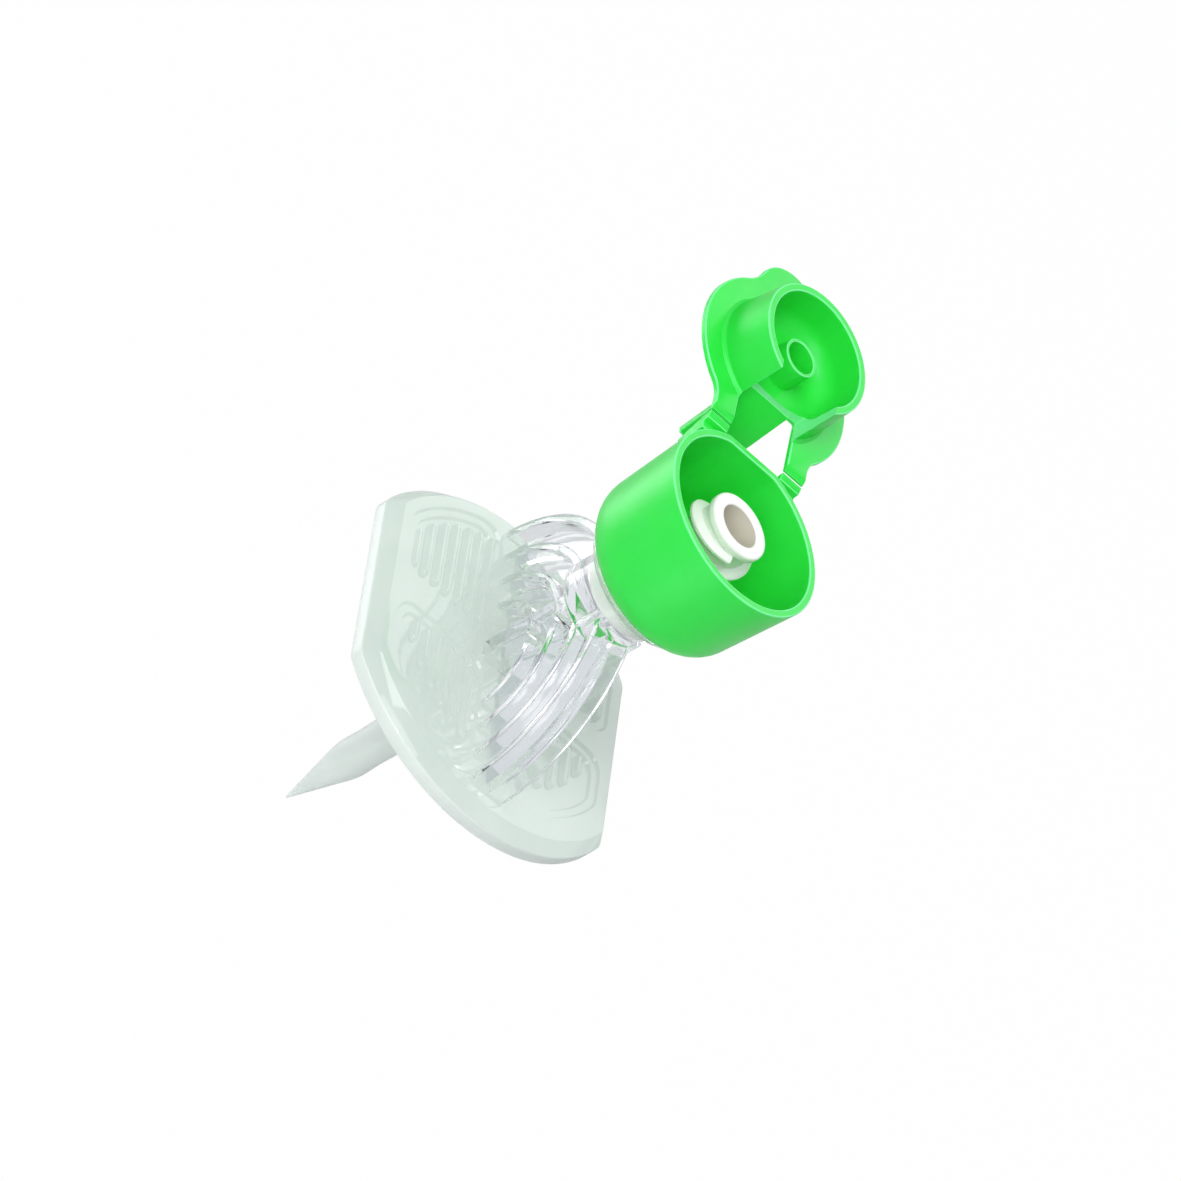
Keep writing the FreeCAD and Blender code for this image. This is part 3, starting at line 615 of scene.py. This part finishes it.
notch = softened([(-STRAP_INNER, -1, 0), (STRAP_INNER, -1, 0),
                  (STRAP_INNER, LID_CHORD, 0.15), (-STRAP_INNER, LID_CHORD, 0.15)])
work(lid, prism(notch, -1.0, 8.0), "DIFFERENCE")
crease = softened([
    (-0.2, 0.0, 0), (0.15, 0.0, 0.1), (0.8, LID_FACE, 0), (0.8, 1.0, 0), (-0.2, 1.0, 0),
])
work(lid, upright_prism(crease, 8.0, 0.0), "DIFFERENCE")

plug = lathe(softened([
    (PLUG_BORE, LID_FACE + 0.2, 0), (PLUG_ROOT_RADIUS, LID_FACE + 0.2, 0),
    (PLUG_ROOT_RADIUS, 2.06, 0.3), (PLUG_TIP_RADIUS, PLUG_TOP, 0.1), (PLUG_BORE, PLUG_TOP, 0.1),
]), 64)
bmesh.ops.translate(plug, verts=plug.verts, vec=(0, 9.5, 0))
work(lid, plug, "UNION")
lean = math.radians(TONGUE_LEAN)
down = Vector((-math.sin(lean), -math.cos(lean))) * TONGUE_LENGTH
thick = Vector((math.cos(lean), -math.sin(lean))) * TONGUE_THICKNESS
top = Vector((LID_CHORD, LID_FACE - 0.02))
back = top + Vector((TONGUE_THICKNESS / math.cos(lean), 0))
tongue = [(*point, 0.25) for point in (top, top + down, top + down + thick, back)]
work(lid, upright_prism(softened(tongue), TONGUE_HALF, 0.15), "UNION")
lid.data.transform(Matrix.Translation(HINGE) @ Matrix.Rotation(math.radians(LID_TILT), 4, "X"))
finish(lid, green, "lid", "cap_lid")
# The lid's small roundings get the same painted highlight.
paint_edge_highlights(lid)


# Room. A pale floor lies well below the held spike. Three broad soft lamps above it, two
# small weak ones below it and a pale world light it evenly. In mirrored and passed light
# the world is brighter and has a few grey stretches, which draw the clear plastic's edges.
FLOOR_LEVEL = -0.16


def show_white(nodes, links, shader_output, glow, share):
    """Let the camera see plain white in place of a share of the shaded surface."""
    path = nodes.new("ShaderNodeLightPath")
    part = nodes.new("ShaderNodeMath")
    part.operation = "MULTIPLY"
    part.inputs[1].default_value = share
    links.new(path.outputs["Is Camera Ray"], part.inputs[0])
    blend = nodes.new("ShaderNodeMixShader")
    links.new(part.outputs[0], blend.inputs["Fac"])
    links.new(shader_output, blend.inputs[1])
    links.new(glow, blend.inputs[2])
    return blend.outputs["Shader"]


floor_material = bpy.data.materials.new("pale_floor")
floor_material.use_nodes = True
nodes, links = floor_material.node_tree.nodes, floor_material.node_tree.links
shader = nodes["Principled BSDF"]
shader.inputs["Base Color"].default_value = colour(236, 237, 238)
shader.inputs["Roughness"].default_value = 0.8
glow = nodes.new("ShaderNodeEmission")
glow.inputs["Color"].default_value = (1.0, 1.0, 1.0, 1.0)
shown = show_white(nodes, links, shader.outputs["BSDF"], glow.outputs["Emission"], 0.98)
links.new(shown, nodes["Material Output"].inputs["Surface"])
bpy.ops.mesh.primitive_plane_add(size=6.0, location=(0, 0, FLOOR_LEVEL))
floor = bpy.context.object
floor.name = "floor"
floor.data.materials.append(floor_material)

world = bpy.data.worlds.new("pale_room")
bpy.context.scene.world = world
world.use_nodes = True
nodes, links = world.node_tree.nodes, world.node_tree.links
room = nodes["Background"]
path = nodes.new("ShaderNodeLightPath")
mirrored = nodes.new("ShaderNodeMath")
mirrored.operation = "MAXIMUM"
links.new(path.outputs["Is Glossy Ray"], mirrored.inputs[0])
links.new(path.outputs["Is Transmission Ray"], mirrored.inputs[1])
level = nodes.new("ShaderNodeMath")
level.operation = "MULTIPLY_ADD"
level.inputs[1].default_value = 0.40
level.inputs[2].default_value = 0.50
links.new(mirrored.outputs[0], level.inputs[0])
links.new(level.outputs[0], room.inputs["Strength"])
where = nodes.new("ShaderNodeTexCoord")
patches = nodes.new("ShaderNodeTexNoise")
patches.inputs["Scale"].default_value = 2.2
patches.inputs["Detail"].default_value = 1.0
links.new(where.outputs["Generated"], patches.inputs["Vector"])
tones = nodes.new("ShaderNodeValToRGB")
tones.color_ramp.elements[0].position = 0.36
tones.color_ramp.elements[0].color = colour(168, 170, 190)
tones.color_ramp.elements[1].position = 0.50
tones.color_ramp.elements[1].color = colour(252, 252, 255)
links.new(patches.outputs["Fac"], tones.inputs["Fac"])
links.new(tones.outputs["Color"], room.inputs["Color"])
seen = nodes.new("ShaderNodeBackground")
seen.inputs["Color"].default_value = (1.0, 1.0, 1.0, 1.0)
shown = show_white(nodes, links, room.outputs["Background"], seen.outputs["Background"], 1.0)
links.new(shown, nodes["World Output"].inputs["Surface"])


def add_lamp(name, spot, width, power):
    """A square soft lamp that faces the object."""
    data = bpy.data.lights.new(name, "AREA")
    data.size = width
    data.energy = power
    lamp = bpy.data.objects.new(name, data)
    bpy.context.collection.objects.link(lamp)
    lamp.location = spot
    lamp.rotation_euler = (-Vector(spot)).to_track_quat("-Z", "Y").to_euler()


add_lamp("key_lamp", (-0.25, -0.10, 0.55), 0.30, 1.7)
add_lamp("fill_lamp", (-0.35, -0.50, 0.38), 0.40, 2.1)
add_lamp("rim_lamp", (0.40, 0.45, 0.46), 0.45, 0.9)
add_lamp("low_left_lamp", (-0.165, 0.173, -0.140), 0.16, 0.30)
add_lamp("low_front_lamp", (-0.04, -0.227, -0.135), 0.16, 0.12)


# Camera. A long lens looks down on the port side from the left front, rolled so that
# the spike points to the lower left, as in the photograph.
CAMERA_DISTANCE = 0.700
CAMERA_LENS = 233.48
camera_right = Vector((0.6755, 0.0982, 0.7308)).normalized()
camera_back = Vector((-0.4620, -0.7160, 0.5233))
camera_back = (camera_back - camera_right * camera_back.dot(camera_right)).normalized()
camera_up = camera_back.cross(camera_right)
camera_data = bpy.data.cameras.new("camera")
camera_data.sensor_width = 36.0
camera_data.lens = CAMERA_LENS
camera_data.clip_end = 20.0
camera = bpy.data.objects.new("camera", camera_data)
bpy.context.collection.objects.link(camera)
turned = Matrix((camera_right, camera_up, camera_back)).transposed().to_4x4()
place = camera_right * 0.00992 + camera_up * 0.008194 + camera_back * CAMERA_DISTANCE
camera.matrix_world = Matrix.Translation(place) @ turned
bpy.context.scene.camera = camera
bpy.context.scene.view_settings.view_transform = "Standard"
